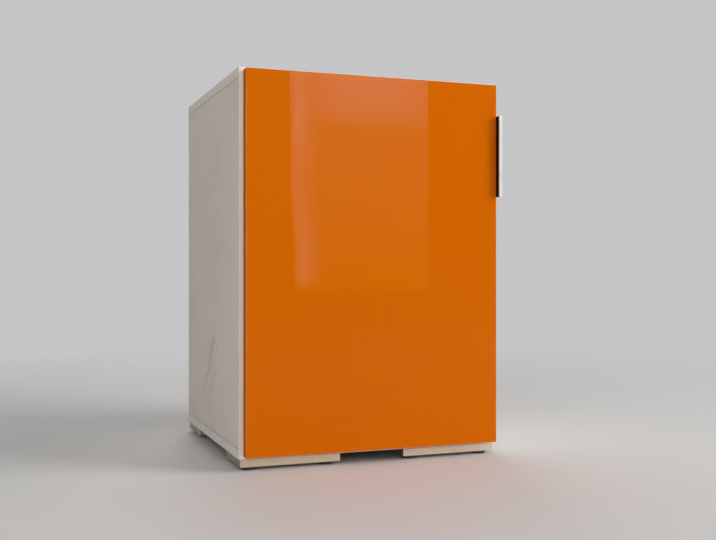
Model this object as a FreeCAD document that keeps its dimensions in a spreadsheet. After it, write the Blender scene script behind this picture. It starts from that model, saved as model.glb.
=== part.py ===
import FreeCAD, Part
import os
import re
import Sketcher

# Office cabinet: a white board carcass on four low metal feet, with one lacquered
# door on two concealed hinges at its left and a metal edge pull at its right.
# Millimetres. +Z is up, the door faces -Y, and the origin is on the floor under
# the middle of the whole cabinet, handle included.

SIZES = {
    # carcass boards
    "carcass_width": 436,
    "carcass_depth": 408,
    "carcass_height": 600,
    "board_thickness": 16,
    "board_arris": 0.6,
    # hardboard back, held in a groove all round
    "back_thickness": 3,
    "back_setback": 10,
    "groove_depth": 8,
    "groove_clearance": 0.2,
    # door, laid on the front of the carcass
    "door_thickness": 18,
    "door_gap": 2.5,
    "door_reveal_left": 6,
    "door_reveal_right": 6,
    "door_reveal_end": 5,
    "door_arris": 1.2,
    # adjustable shelf and the drilled lines for its pins
    "shelf_setback": 20,
    "shelf_clearance": 1,
    "line_inset": 37,
    "line_pitch": 32,
    "line_spread": 288,
    "pin_hole_depth": 10,
    "pin_radius": 2.5,
    "pin_stem_length": 9,
    "pin_point": 0.8,
    "pin_collar_radius": 4,
    "pin_collar": 0.8,
    "pin_rest_length": 9,
    "pin_rest_width": 8,
    "pin_rest_height": 4,
    "pin_rest_round": 1.2,
    # knock-down fittings at the four corner joints
    "cam_radius": 7.5,
    "cam_length": 12,
    "cam_wall": 2,
    "cam_end_distance": 34,
    "cam_edge_distance": 60,
    "cam_slot_width": 1.6,
    "cam_slot_length": 9,
    "cam_slot_depth": 2,
    "bolt_radius": 2.8,
    "bolt_head_radius": 3.5,
    "bolt_head_length": 4,
    "bolt_head_chamfer": 0.8,
    "bolt_neck_radius": 1.8,
    "bolt_seat_depth": 11,
    "dowel_radius": 4,
    "dowel_length": 30,
    "dowel_chamfer": 1,
    "dowel_seat_depth": 10,
    "dowel_offset": 32,
    "fit_clearance": 0.1,
    # feet and glides
    "foot_length": 162,
    "foot_depth": 93,
    "foot_height": 12.5,
    "foot_wall": 2.5,
    "foot_arris": 0.8,
    "foot_inner_round": 3,
    "foot_side_inset": 2,
    "foot_face_inset": 1,
    "boss_radius": 7.5,
    "boss_draft": 1,
    "glide_radius": 12,
    "glide_height": 5.5,
    "glide_chamfer": 1.2,
    "glide_stem_radius": 4,
    "glide_stem_length": 7,
    "glide_inset": 18,
    "foot_screw_inset": 51,
    # screws
    "screw_radius": 1.75,
    "screw_length": 13,
    "screw_point": 3,
    "screw_head_radius": 3.4,
    "screw_head_height": 2,
    "screw_head_round": 1.3,
    # concealed hinges: the pivot lies inside the cup, the arm goes round the door's corner
    "hinge_end_distance": 100,
    "pivot_edge_distance": 7,
    "pivot_depth": 9,
    "hinge_pin_radius": 1.2,
    "hinge_pin_length": 18.6,
    "pin_fit": 0.04,
    "eye_radius": 2,
    "arm_thickness": 2,
    "arm_bend": 1.5,
    "arm_neck_width": 9,
    "arm_width": 12.4,
    "arm_length": 60,
    "arm_channel_start": 6,
    "arm_shoulder": 5,
    "arm_flange": 1.2,
    "arm_flange_slope": 7,
    "arm_tail_chamfer": 3,
    "arm_door_clearance": 1.6,
    "cup_radius": 17.4,
    "cup_edge_distance": 3,
    "cup_depth": 12,
    "cup_round": 1.2,
    "cup_floor": 0.7,
    "cup_wall": 0.8,
    "cup_mouth": 16,
    "cup_flange_thickness": 1.2,
    "cup_flange_width": 27,
    "cup_flange_waist": 26,
    "cup_flange_length": 60,
    "cup_ear_width": 14,
    "cup_ear_round": 5,
    "cup_screw_spread": 48,
    "cup_screw_offset": 6,
    "plate_wing_thickness": 2.2,
    "plate_wing_width": 14,
    "plate_wing_length": 48,
    "plate_wing_round": 5.5,
    "plate_rib_start": 14,
    "plate_rib_end": 58,
    "plate_rib_slope": 5,
    "plate_side_clearance": 0.2,
    "plate_screw_spread": 32,
    "plate_screw_length": 11,
    "plate_screw_radius": 2.5,
    "arm_screw_distance": 50,
    "adjusting_screw_distance": 26,
    "machine_screw_radius": 2,
    "machine_screw_length": 7,
    # edge pull
    "handle_length": 133,
    "handle_drop": 57,
    "handle_proud": 10,
    "handle_web": 2.2,
    "handle_lip": 2.6,
    "handle_arris": 0.7,
    "handle_screw_spread": 96,
    "countersink_depth": 1.5,
    # magnet catch under the top board, its strike on the door, and the door's soft pads
    "catch_width": 46,
    "catch_depth": 16,
    "catch_height": 14,
    "catch_side_distance": 34,
    "catch_setback": 0.5,
    "catch_screw_spread": 36,
    "catch_ear": 4,
    "catch_wall": 2,
    "catch_round": 1.5,
    "magnet_width": 24,
    "magnet_height": 9,
    "magnet_depth": 12,
    "contact_gap": 0.3,
    "strike_radius": 6.5,
    "strike_thickness": 1.2,
    "strike_round": 0.5,
    "strike_head_height": 0.8,
    "bumper_radius": 3,
    "bumper_round": 1.2,
    "bumper_inset": 4,
    "bumper_end_distance": 30,
}
LINE_HOLES = 7

doc = FreeCAD.newDocument("office_cabinet")
sheet = doc.addObject("Spreadsheet::Sheet", "Sizes")
for row, (alias, number) in enumerate(SIZES.items(), 1):
    sheet.set(f"A{row}", alias)
    sheet.set(f"B{row}", str(number))
    sheet.setAlias(f"B{row}", alias)
doc.recompute()

WORDS = re.compile(r"\b(" + "|".join(sorted(SIZES, key=len, reverse=True)) + r")\b")
X, Y, Z = FreeCAD.Vector(1, 0, 0), FreeCAD.Vector(0, 1, 0), FreeCAD.Vector(0, 0, 1)
# Turns for pieces that are drawn or turned along their own Z.
TURNS = {
    "+x": FreeCAD.Rotation(Y, 90),
    "-x": FreeCAD.Rotation(Y, -90),
    "+y": FreeCAD.Rotation(X, -90),
    "-y": FreeCAD.Rotation(X, 90),
    "+z": FreeCAD.Rotation(),
    "-z": FreeCAD.Rotation(X, 180),
    "outline in yz, along +x": FreeCAD.Rotation(Y, Z, X, "ZYX"),
    "outline in yx, along -z": FreeCAD.Rotation(Y, X, -Z, "ZYX"),
}
subparts = []

# Planes that the pieces share, as expressions of the sizes.
HALF_WIDTH = "(carcass_width / 2)"
INNER_HALF = "(carcass_width / 2 - board_thickness)"
FRONT = "((handle_proud + door_thickness + door_gap - carcass_depth) / 2)"
REAR = f"({FRONT} + carcass_depth)"
BASE = "(glide_height + foot_height)"
TOP = f"({BASE} + carcass_height)"
FLOOR = f"({BASE} + board_thickness)"
CEILING = f"({TOP} - board_thickness)"
MIDDLE = f"({BASE} + carcass_height / 2)"
BACK_FACE = f"({REAR} - back_setback - back_thickness)"
DOOR_LEFT = "(door_reveal_left - carcass_width / 2)"
DOOR_RIGHT = "(carcass_width / 2 - door_reveal_right)"
DOOR_BACK = f"({FRONT} - door_gap)"
DOOR_FRONT = f"({DOOR_BACK} - door_thickness)"
DOOR_BOTTOM = f"({BASE} + door_reveal_end)"
DOOR_TOP = f"({TOP} - door_reveal_end)"
PIVOT_X = f"({DOOR_LEFT} + pivot_edge_distance)"
PIVOT_Y = f"({DOOR_BACK} - pivot_depth)"
ARM_X = f"({PIVOT_X} + pivot_depth + arm_door_clearance + arm_thickness / 2)"
CUP_X = f"({DOOR_LEFT} + cup_edge_distance + cup_radius)"
HINGES = {
    "upper": f"({DOOR_TOP} - hinge_end_distance)",
    "lower": f"({DOOR_BOTTOM} + hinge_end_distance)",
}


def bind(item, **texts):
    """Tie an object's properties to expressions of the sizes."""
    for name, text in texts.items():
        item.setExpression(name, WORDS.sub(r"Sizes.\1", text))


def place(item, turn, x, y, z):
    """Turn a piece and tie its place to the sizes."""
    item.Placement = FreeCAD.Placement(FreeCAD.Vector(), turn)
    for axis, text in zip("xyz", (x, y, z)):
        item.setExpression(f"Placement.Base.{axis}", WORDS.sub(r"Sizes.\1", text))
    return item


def box(name, centre, extent):
    """A plain block about its centre."""
    item = doc.addObject("Part::Box", name)
    bind(item, Length=extent[0], Width=extent[1], Height=extent[2])
    return place(item, TURNS["+z"], *(f"{c} - ({e}) / 2" for c, e in zip(centre, extent)))


def rod(name, way, start, radius, length):
    """A round bar, or the tool for a round hole, that runs from its start in one direction."""
    item = doc.addObject("Part::Cylinder", name)
    bind(item, Radius=radius, Height=length)
    return place(item, TURNS[way], *start)


def taper(name, way, start, radius, end_radius, length):
    item = doc.addObject("Part::Cone", name)
    bind(item, Radius1=radius, Radius2=end_radius, Height=length)
    return place(item, TURNS[way], *start)


def fuse(name, items):
    item = doc.addObject("Part::MultiFuse", name)
    item.Shapes = items
    return item


def cut(name, base, tools):
    item = doc.addObject("Part::Cut", name)
    item.Base = base
    item.Tool = tools[0] if len(tools) == 1 else fuse(f"{name}_tools", tools)
    return item


def group(name, items):
    """Identical loose pieces kept together as separate solids."""
    item = doc.addObject("Part::Compound", name)
    item.Links = items
    return item


def copy_of(master, name, turn, spot):
    """One more of a piece that is modelled once, in its own place."""
    link = doc.addObject("App::Link", name)
    link.LinkedObject = master
    return place(link, turn, *spot)


def subpart(name, item):
    """Name a finished piece; its label is also the name of its file."""
    item.Label = name
    subparts.append(item)
    return item


def outline(body, role, corners):
    """A closed outline on one of the body's own planes, with every corner held by the sizes."""
    sketch = body.newObject("Sketcher::SketchObject", f"{body.Name}_outline")
    plane = [item for item in body.Origin.OriginFeatures if item.Role == role][0]
    sketch.AttachmentSupport = [(plane, "")]
    sketch.MapMode = "FlatFace"
    count = len(corners)
    step = FreeCAD.Rotation(Z, 360 / count)
    points = [FreeCAD.Vector(1, 0, 0)]
    while len(points) < count:
        points.append(step.multVec(points[-1]))
    for index in range(count):
        sketch.addGeometry(Part.LineSegment(points[index], points[(index + 1) % count]), False)
    for index in range(count):
        sketch.addConstraint(Sketcher.Constraint("Coincident", index, 2, (index + 1) % count, 1))
    for index, corner in enumerate(corners):
        for kind, text in zip(("DistanceX", "DistanceY"), corner):
            held = sketch.addConstraint(Sketcher.Constraint(kind, -1, 1, index, 1, 1.0))
            bind(sketch, **{f"Constraints[{held}]": text})
    return sketch


def rounded(body, feature, sketch, rounds, axes):
    """Round the edges that start from given corners of the outline, one radius at a time."""
    for step, (corners, radius) in enumerate(rounds):
        doc.recompute()
        spots = [sketch.Geometry[index].StartPoint for index in corners]
        edges = []
        for number, edge in enumerate(feature.Shape.Edges, 1):
            points = [vertex.Point for vertex in edge.Vertexes]
            ends = [FreeCAD.Vector(axes[0].dot(point), axes[1].dot(point), 0) for point in points]
            if any(all(end.isEqual(spot, Part.Precision.confusion()) for end in ends) for spot in spots):
                edges.append(f"Edge{number}")
        fillet = body.newObject("PartDesign::Fillet", f"{body.Name}_round_{step}")
        fillet.Base = (feature, edges)
        bind(fillet, Radius=radius)
        feature = fillet
    body.Tip = feature
    return body


def extrusion(name, corners, length, *rounds):
    """An outline drawn out along Z, with long edges rounded at the named corners."""
    body = doc.addObject("PartDesign::Body", name)
    pad = body.newObject("PartDesign::Pad", f"{name}_pad")
    pad.Profile = sketch = outline(body, "XY_Plane", corners)
    bind(pad, Length=length)
    return rounded(body, pad, sketch, rounds, (X, Y))


def turned(name, corners, *rounds):
    """A half outline of radius and height, turned round Z, with rims rounded at the named corners."""
    body = doc.addObject("PartDesign::Body", name)
    turning = body.newObject("PartDesign::Revolution", f"{name}_turning")
    turning.Profile = sketch = outline(body, "XZ_Plane", corners)
    turning.ReferenceAxis = (sketch, ["V_Axis"])
    return rounded(body, turning, sketch, rounds, (X, Z))


def board(name, centre, extent, arris):
    """A board with softly rounded edges, about its centre."""
    wide = f"({extent[0]}) / 2"
    deep = f"({extent[1]}) / 2"
    corners = [(f"-{wide}", f"-{deep}"), (wide, f"-{deep}"), (wide, deep), (f"-{wide}", deep)]
    body = extrusion(name, corners, extent[2])
    doc.recompute()
    pad = body.Tip
    fillet = body.newObject("PartDesign::Fillet", f"{name}_arris")
    fillet.Base = (pad, [f"Edge{number}" for number in range(1, len(pad.Shape.Edges) + 1)])
    bind(fillet, Radius=arris)
    body.Tip = fillet
    return place(body, TURNS["+z"], centre[0], centre[1], f"{centre[2]} - ({extent[2]}) / 2")


def screw(name, radius, length, head_radius, head_height, head_round):
    """A pan-head screw, modelled once: the point under its head is its origin, its shank runs up."""
    corners = [("0", f"-{head_height}"), (head_radius, f"-{head_height}"), (head_radius, "0"),
               (radius, "0"), (radius, f"{length} - screw_point"), ("0", length)]
    return turned(name, corners, ((1,), head_round))


def pilot(name, way, start, length):
    """The hole that a wood screw's shank fills."""
    return rod(name, way, start, "(screw_radius + fit_clearance)", f"({length} + fit_clearance)")


wood_screw = screw("wood_screw", "screw_radius", "screw_length", "screw_head_radius", "screw_head_height",
                   "screw_head_round")

# Corner joints. Each side board is drawn up to the top and bottom boards by two cam
# fittings, with a beech dowel beside each one to hold it in line.
# The cam: a drum whose face has a cross slot. The bolt's head goes in through a round
# opening, and a quarter turn brings a narrow slot round its neck.
bolt_level = "board_thickness / 2"
drum = rod("drum", "+z", ("0", "0", "0"), "cam_radius", "cam_length")
chamber = rod("chamber", "+z", ("0", "0", f"{bolt_level} - bolt_head_radius - fit_clearance"),
              "(cam_radius - cam_wall)", "(2 * bolt_head_radius + 2 * fit_clearance)")
entry = rod("entry", "+x", ("0", "0", bolt_level), "(bolt_head_radius + fit_clearance)", "cam_radius")
neck_way = "(2 * bolt_neck_radius + 2 * fit_clearance)"
neck_slot = box("neck_slot", (f"cam_radius / 2 - {neck_way} / 4", "cam_radius / 2", bolt_level),
                (f"cam_radius + {neck_way} / 2", "cam_radius", neck_way))
cross = [box("cross_slot_1", ("0", "0", "0"), ("cam_slot_length", "cam_slot_width", "2 * cam_slot_depth")),
         box("cross_slot_2", ("0", "0", "0"), ("cam_slot_width", "cam_slot_length", "2 * cam_slot_depth"))]
cam = cut("cam", drum, [chamber, entry, neck_slot, *cross])
# The bolt: screwed into the top or bottom board, with its necked head held in the cam.
bolt_length = "(bolt_seat_depth + cam_end_distance + bolt_head_length / 2)"
head_start = f"({bolt_length} - bolt_head_length)"
neck_start = "(bolt_seat_depth + cam_end_distance - cam_radius - fit_clearance)"
bolt = turned("bolt", [("0", "0"), ("bolt_radius", "0"), ("bolt_radius", neck_start),
                       ("bolt_neck_radius", neck_start), ("bolt_neck_radius", head_start),
                       ("bolt_head_radius", head_start),
                       ("bolt_head_radius", f"{bolt_length} - bolt_head_chamfer"),
                       ("bolt_head_radius - bolt_head_chamfer", bolt_length), ("0", bolt_length)])
# The dowel: plain beech with eased ends.
dowel = turned("dowel", [("0", "0"), ("dowel_radius - dowel_chamfer", "0"), ("dowel_radius", "dowel_chamfer"),
                         ("dowel_radius", "dowel_length - dowel_chamfer"),
                         ("dowel_radius - dowel_chamfer", "dowel_length"), ("0", "dowel_length")])
cams = []
bolts = []
dowels = []
board_tools = {"top": [], "bottom": []}
side_tools = {"left": [], "right": []}
for side, hand in (("left", -1), ("right", 1)):
    joint_x = f"{hand} * (carcass_width / 2 - {bolt_level})"
    face_x = f"{hand} * {INNER_HALF}"
    outward = "-x" if hand < 0 else "+x"
    for end, joint_z, up in (("top", CEILING, 1), ("bottom", FLOOR, -1)):
        inward = "-z" if up > 0 else "+z"
        outwards = "+z" if up > 0 else "-z"
        cam_turn = FreeCAD.Rotation((Z * up).cross(X * hand), Z * up, X * hand, "ZYX")
        for depth, line_y, step in (("front", f"({FRONT} + cam_edge_distance)", 1),
                                    ("rear", f"({REAR} - cam_edge_distance)", -1)):
            tag = f"{side}_{end}_{depth}"
            cam_z = f"{joint_z} - {up} * cam_end_distance"
            dowel_y = f"{line_y} + {step} * dowel_offset"
            cams.append(copy_of(cam, f"{tag}_cam", cam_turn, (face_x, line_y, cam_z)))
            bolts.append(copy_of(bolt, f"{tag}_bolt", TURNS[inward],
                                 (joint_x, line_y, f"{joint_z} + {up} * bolt_seat_depth")))
            dowels.append(copy_of(dowel, f"{tag}_dowel", TURNS[inward],
                                  (joint_x, dowel_y, f"{joint_z} + {up} * dowel_seat_depth")))
            # the holes that all three fill
            bolt_spot = (joint_x, line_y, joint_z)
            dowel_spot = (joint_x, dowel_y, joint_z)
            dowel_bore = "(dowel_radius + fit_clearance)"
            side_tools[side] += [
                rod(f"{tag}_cam_hole", outward, (face_x, line_y, cam_z), "(cam_radius + fit_clearance)",
                    "(cam_length + fit_clearance)"),
                rod(f"{tag}_bolt_bore", inward, bolt_spot, "(bolt_head_radius + fit_clearance)",
                    "cam_end_distance"),
                rod(f"{tag}_dowel_hole", inward, dowel_spot, dowel_bore,
                    "(dowel_length - dowel_seat_depth + fit_clearance)"),
            ]
            board_tools[end] += [
                rod(f"{tag}_bolt_hole", outwards, bolt_spot, "(bolt_radius + fit_clearance)",
                    "(bolt_seat_depth + fit_clearance)"),
                rod(f"{tag}_dowel_seat", outwards, dowel_spot, dowel_bore,
                    "(dowel_seat_depth + fit_clearance)"),
            ]
subpart("cam_locks", group("cam_locks", cams))
subpart("cam_bolts", group("cam_bolts", bolts))
subpart("wood_dowels", group("wood_dowels", dowels))

# Back: a thin hardboard sheet that slides in a groove in all four boards.
back_width = f"(2 * {INNER_HALF} + 2 * groove_depth - 4 * groove_clearance)"
back_height = "(carcass_height - 2 * board_thickness + 2 * groove_depth - 4 * groove_clearance)"
back_y = f"({BACK_FACE} + back_thickness / 2)"
subpart("back_panel", box("back_panel", ("0", back_y, MIDDLE), (back_width, "back_thickness", back_height)))
for name, tools in (*board_tools.items(), *side_tools.items()):
    tools.append(box(f"{name}_groove", ("0", back_y, MIDDLE),
                     (f"({back_width} + 4 * groove_clearance)", "(back_thickness + 2 * groove_clearance)",
                      f"({back_height} + 4 * groove_clearance)")))

# Shelf: one loose board on four pins, in the middle holes of the drilled lines. A pin has
# a pointed stem, a thin collar against the side and a flat rest with rounded edges.
pin_stem = turned("pin_stem", [("0", "-pin_collar"), ("pin_collar_radius", "-pin_collar"),
                               ("pin_collar_radius", "0"), ("pin_radius", "0"),
                               ("pin_radius", "pin_stem_length - pin_point"),
                               ("pin_radius - pin_point", "pin_stem_length"), ("0", "pin_stem_length")])
pin_rest = extrusion("pin_rest", [(f"{x} * pin_rest_width / 2", f"{y} * pin_rest_height / 2")
                                  for x, y in ((-1, -1), (1, -1), (1, 1), (-1, 1))],
                     "pin_rest_length", ((0, 1), "pin_rest_round"))
place(pin_rest, TURNS["+z"], "0", "0", "-pin_rest_length")
shelf_pin = fuse("shelf_pin", [pin_stem, pin_rest])
line_ys = {"front": f"({FRONT} + line_inset)", "rear": f"({FRONT} + line_inset + line_spread)"}
pins = []
for side, hand in (("left", -1), ("right", 1)):
    face_x = f"{hand} * {INNER_HALF}"
    outward = "-x" if hand < 0 else "+x"
    pin_turn = FreeCAD.Rotation(Z.cross(X * hand), Z, X * hand, "ZYX")
    for line, line_y in line_ys.items():
        for index in range(LINE_HOLES):
            hole_z = f"{MIDDLE} + {index - LINE_HOLES // 2} * line_pitch"
            side_tools[side].append(rod(f"{side}_{line}_hole_{index}", outward, (face_x, line_y, hole_z),
                                        "(pin_radius + fit_clearance)", "pin_hole_depth"))
        pins.append(copy_of(shelf_pin, f"{side}_{line}_pin", pin_turn, (face_x, line_y, MIDDLE)))
subpart("shelf_pins", group("shelf_pins", pins))
shelf_front = f"({FRONT} + shelf_setback)"
shelf_depth = f"({BACK_FACE} - shelf_clearance - {shelf_front})"
shelf_z = f"({MIDDLE} + pin_rest_height / 2 + board_thickness / 2)"
subpart("shelf", board("shelf", ("0", f"({shelf_front} + {shelf_depth} / 2)", shelf_z),
                       (f"(2 * {INNER_HALF} - 2 * shelf_clearance)", shelf_depth, "board_thickness"),
                       "board_arris"))

# Feet: shallow aluminium trays, open below, each screwed up into the bottom board
# through its roof and standing on two plastic glides pressed into tapered bosses.
glide = turned("glide", [("0", "0"), ("glide_radius - glide_chamfer", "0"), ("glide_radius", "glide_chamfer"),
                         ("glide_radius", "glide_height"), ("glide_stem_radius", "glide_height"),
                         ("glide_stem_radius", "glide_height + glide_stem_length"),
                         ("0", "glide_height + glide_stem_length")])
glides = []
foot_screws = []
foot_roof = "(glide_height + foot_height - foot_wall)"
inner_wide = "(foot_length / 2 - foot_wall)"
inner_deep = "(foot_depth / 2 - foot_wall)"
for depth, toward, foot_y in (("front", 1, f"({FRONT} + foot_face_inset + foot_depth / 2)"),
                              ("rear", -1, f"({REAR} - foot_face_inset - foot_depth / 2)")):
    for side, hand in (("left", -1), ("right", 1)):
        foot = f"{depth}_{side}_foot"
        foot_x = f"{hand} * ({HALF_WIDTH} - foot_side_inset - foot_length / 2)"
        glide_y = f"{foot_y} - {toward} * (foot_depth / 2 - glide_inset)"
        shell = board(f"{foot}_block", (foot_x, foot_y, "(glide_height + foot_height / 2)"),
                      ("foot_length", "foot_depth", "foot_height"), "foot_arris")
        hollow = extrusion(f"{foot}_hollow",
                           [(f"{x} * {inner_wide}", f"{y} * {inner_deep}")
                            for x, y in ((-1, -1), (1, -1), (1, 1), (-1, 1))],
                           "(foot_height - foot_wall)", ((0, 1, 2, 3), "foot_inner_round"))
        place(hollow, TURNS["+z"], foot_x, foot_y, "glide_height")
        bosses = []
        holes = []
        for index, way in enumerate((-1, 1)):
            tag = f"{foot}_{index}"
            glide_x = f"{foot_x} + {way} * (foot_length / 2 - glide_inset)"
            screw_x = f"{foot_x} + {way} * (foot_length / 2 - foot_screw_inset)"
            bosses.append(taper(f"{tag}_boss", "+z", (glide_x, glide_y, "glide_height"), "boss_radius",
                                "(boss_radius + boss_draft)", "(foot_height - foot_wall / 2)"))
            holes.append(rod(f"{tag}_socket", "+z", (glide_x, glide_y, "glide_height"),
                             "(glide_stem_radius + fit_clearance)", "(glide_stem_length + fit_clearance)"))
            holes.append(pilot(f"{tag}_screw_hole", "+z", (screw_x, foot_y, foot_roof), "foot_wall"))
            board_tools["bottom"].append(pilot(f"{tag}_screw_bore", "+z", (screw_x, foot_y, BASE),
                                               "(screw_length - foot_wall)"))
            foot_screws.append(copy_of(wood_screw, f"{tag}_screw", TURNS["+z"], (screw_x, foot_y, foot_roof)))
            glides.append(copy_of(glide, f"{tag}_glide", TURNS["+z"], (glide_x, glide_y, "0")))
        tray = fuse(f"{foot}_tray", [cut(f"{foot}_shell", shell, [hollow]), *bosses])
        subpart(foot, cut(foot, tray, holes))
subpart("foot_glides", group("foot_glides", glides))
subpart("foot_screws", group("foot_screws", foot_screws))

# Concealed hinges. The pivot pin crosses the cup close to the door's edge, deep enough
# that the door's rear corner clears the carcass as it turns. The arm runs from the pivot
# along the cup's floor and out of its mouth, so that the corner passes inside the bend.
plate_screw = screw("plate_screw", "plate_screw_radius", "plate_screw_length", "screw_head_radius",
                    "screw_head_height", "screw_head_round")
machine_screw = screw("machine_screw", "machine_screw_radius", "machine_screw_length", "screw_head_radius",
                      "screw_head_height", "screw_head_round")
rib_height = f"({ARM_X} - arm_thickness / 2 + {INNER_HALF})"
rib_width = "(arm_width - 2 * arm_flange - 2 * plate_side_clearance)"
plate_screws = []
arm_screws = []
adjusting_screws = []
hinge_pins = []
cup_screws = []
door_tools = []
for hinge, hinge_z in HINGES.items():
    # plate: a pair of round-ended wings on the side board and a sloped rib that carries the arm
    wing_y = f"({FRONT} + line_inset)"
    wing = extrusion(f"{hinge}_wing",
                     [(f"{y} * plate_wing_width / 2", f"{z} * plate_wing_length / 2")
                      for y, z in ((-1, -1), (1, -1), (1, 1), (-1, 1))],
                     "plate_wing_thickness", ((0, 1, 2, 3), "plate_wing_round"))
    place(wing, TURNS["outline in yz, along +x"], f"-{INNER_HALF}", wing_y, hinge_z)
    rib = extrusion(f"{hinge}_rib",
                    [("plate_rib_start", "0"), ("plate_rib_end", "0"), ("plate_rib_end", rib_height),
                     ("plate_rib_start + plate_rib_slope", rib_height),
                     ("plate_rib_start", f"{rib_height} / 2")],
                    rib_width)
    place(rib, TURNS["outline in yx, along -z"], f"-{INNER_HALF}", FRONT, f"{hinge_z} + {rib_width} / 2")
    plate_holes = []
    for index, way in enumerate((-1, 1)):
        seat = (f"plate_wing_thickness - {INNER_HALF}", wing_y, f"{hinge_z} + {way} * plate_screw_spread / 2")
        bore = ("(plate_screw_radius + fit_clearance)", "(plate_screw_length + fit_clearance)")
        plate_holes.append(rod(f"{hinge}_plate_hole_{index}", "-x", seat, *bore))
        side_tools["left"].append(rod(f"{hinge}_plate_bore_{index}", "-x", seat, *bore))
        plate_screws.append(copy_of(plate_screw, f"{hinge}_plate_screw_{index}", TURNS["-x"], seat))
    # arm: a bent strip with an eye at the pivot, which widens to a channel over the plate's rib
    bend_inside = "(pivot_depth + arm_door_clearance)"
    bend_outside = "(pivot_depth + arm_door_clearance + arm_thickness)"
    tail = f"({FRONT} + arm_length - {PIVOT_Y})"
    near = "-arm_thickness / 2"
    far = "arm_thickness / 2"
    strip = extrusion(f"{hinge}_strip",
                      [(far, near), (bend_outside, near), (bend_outside, tail), (bend_inside, tail),
                       (bend_inside, far), (far, far)],
                      "arm_neck_width", ((1,), "arm_bend + arm_thickness"), ((4,), "arm_bend"))
    place(strip, TURNS["+z"], PIVOT_X, PIVOT_Y, f"{hinge_z} - arm_neck_width / 2")
    eye_start = (PIVOT_X, PIVOT_Y, f"{hinge_z} - arm_neck_width / 2")
    eye = rod(f"{hinge}_eye", "+z", eye_start, "eye_radius", "arm_neck_width")
    full_width = "(arm_channel_start + arm_shoulder)"
    web = extrusion(f"{hinge}_web",
                    [("arm_channel_start", "-arm_neck_width / 2"), (full_width, "-arm_width / 2"),
                     ("arm_length", "-arm_width / 2"), ("arm_length", "arm_width / 2"),
                     (full_width, "arm_width / 2"), ("arm_channel_start", "arm_neck_width / 2")],
                    "arm_thickness")
    place(web, TURNS["outline in yz, along +x"], f"{ARM_X} - arm_thickness / 2", FRONT, hinge_z)
    flange_foot = f"(plate_wing_thickness + plate_side_clearance - {INNER_HALF} - {ARM_X})"
    flanges = []
    for index, (edge_z, side_name) in enumerate(((f"{hinge_z} + arm_width / 2", "upper"),
                                                 (f"{hinge_z} - arm_width / 2 + arm_flange", "lower"))):
        flange = extrusion(f"{hinge}_{side_name}_flange",
                           [(full_width, far), (full_width, near),
                            (f"{full_width} + arm_flange_slope", flange_foot),
                            ("arm_length - arm_tail_chamfer", flange_foot),
                            ("arm_length", f"{flange_foot} + arm_tail_chamfer"), ("arm_length", far)],
                           "arm_flange")
        flanges.append(place(flange, TURNS["outline in yx, along -z"], ARM_X, FRONT, edge_z))
    arm_holes = [rod(f"{hinge}_eye_bore", "+z", eye_start, "(hinge_pin_radius + pin_fit)", "arm_neck_width")]
    for kind, distance, found in (("arm", "arm_screw_distance", arm_screws),
                                  ("adjusting", "adjusting_screw_distance", adjusting_screws)):
        seat = (f"({ARM_X} + arm_thickness / 2)", f"({FRONT} + {distance})", hinge_z)
        bore = ("(machine_screw_radius + fit_clearance)", "(machine_screw_length + fit_clearance)")
        found.append(copy_of(machine_screw, f"{hinge}_{kind}_screw", TURNS["-x"], seat))
        arm_holes.append(rod(f"{hinge}_{kind}_hole", "-x", seat, *bore))
        plate_holes.append(rod(f"{hinge}_{kind}_bore", "-x", seat, *bore))
    plate = fuse(f"{hinge}_plate_block", [wing, rib])
    subpart(f"{hinge}_hinge_plate", cut(f"{hinge}_hinge_plate", plate, plate_holes))
    arm = fuse(f"{hinge}_arm_block", [strip, eye, web, *flanges])
    subpart(f"{hinge}_hinge_arm", cut(f"{hinge}_hinge_arm", arm, arm_holes))
    # cup: a round pot let into the door, with an eared flange and a slot for the arm
    pot = turned(f"{hinge}_pot",
                 [("0", "0"), ("cup_radius", "0"), ("cup_radius", "cup_depth"), ("0", "cup_depth")],
                 ((2,), "cup_round"))
    place(pot, TURNS["-y"], CUP_X, DOOR_BACK, hinge_z)
    flange = extrusion(f"{hinge}_cup_flange",
                       [("-cup_flange_width / 2", "-cup_flange_waist / 2"),
                        ("cup_screw_offset - cup_ear_width / 2", "-cup_flange_length / 2"),
                        ("cup_screw_offset + cup_ear_width / 2", "-cup_flange_length / 2"),
                        ("cup_flange_width / 2", "-cup_flange_waist / 2"),
                        ("cup_flange_width / 2", "cup_flange_waist / 2"),
                        ("cup_screw_offset + cup_ear_width / 2", "cup_flange_length / 2"),
                        ("cup_screw_offset - cup_ear_width / 2", "cup_flange_length / 2"),
                        ("-cup_flange_width / 2", "cup_flange_waist / 2")],
                       "cup_flange_thickness", ((1, 2, 5, 6), "cup_ear_round"))
    place(flange, TURNS["+y"], CUP_X, DOOR_BACK, hinge_z)
    slot_depth = "(cup_depth - cup_floor + cup_flange_thickness)"
    slot_start = (CUP_X, f"({DOOR_BACK} + cup_flange_thickness)", hinge_z)
    slot_round = rod(f"{hinge}_slot_round", "-y", slot_start, "(cup_radius - cup_wall)", slot_depth)
    slot_band = box(f"{hinge}_slot_band",
                    (CUP_X, f"({DOOR_BACK} + cup_flange_thickness - {slot_depth} / 2)", hinge_z),
                    ("2 * cup_radius", slot_depth, "cup_mouth"))
    slot = doc.addObject("Part::Common", f"{hinge}_slot")
    slot.Base = slot_round
    slot.Tool = slot_band
    pin_start = (PIVOT_X, PIVOT_Y, f"{hinge_z} - hinge_pin_length / 2")
    pin_bore = rod(f"{hinge}_pin_bore", "+z", pin_start, "(hinge_pin_radius + pin_fit)", "hinge_pin_length")
    cup_holes = [slot, pin_bore]
    hinge_pins.append(rod(f"{hinge}_pin", "+z", pin_start, "hinge_pin_radius", "hinge_pin_length"))
    for index, way in enumerate((-1, 1)):
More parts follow.
